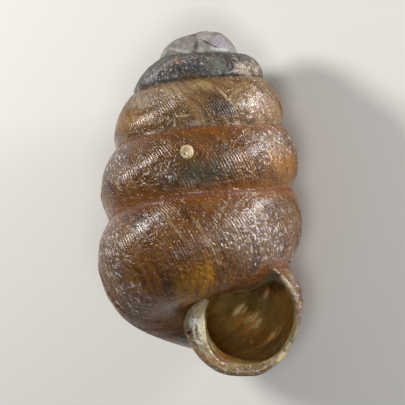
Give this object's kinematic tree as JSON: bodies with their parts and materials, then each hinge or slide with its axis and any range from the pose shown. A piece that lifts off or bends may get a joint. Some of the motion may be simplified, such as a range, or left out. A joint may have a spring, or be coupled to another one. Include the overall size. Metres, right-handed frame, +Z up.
{
  "type": "land snail shell",
  "caption": "Minute pupa-shaped snail shell with strongly rounded whorls, fine riblets, a round toothless mouth and a turned-out lip, lying on its back.",
  "frame": {"origin": "middle of the bounding box's footprint, on the surface that the shell lies on", "axes": "+Z up; +Y towards the apex, along the shell; +X to the mouth's side of the shell, seen from above with the apex away. The mouth faces up, 24.5 degrees towards +X"},
  "size_m": [0.002, 0.0032, 0.0019],
  "materials": {
    "shell": "thin translucent amber-brown shell with a silky, finely ribbed gloss, chalky grey at the apex"
  },
  "bodies": {
    "root": {"shell": "shell"}
  },
  "joints": []
}
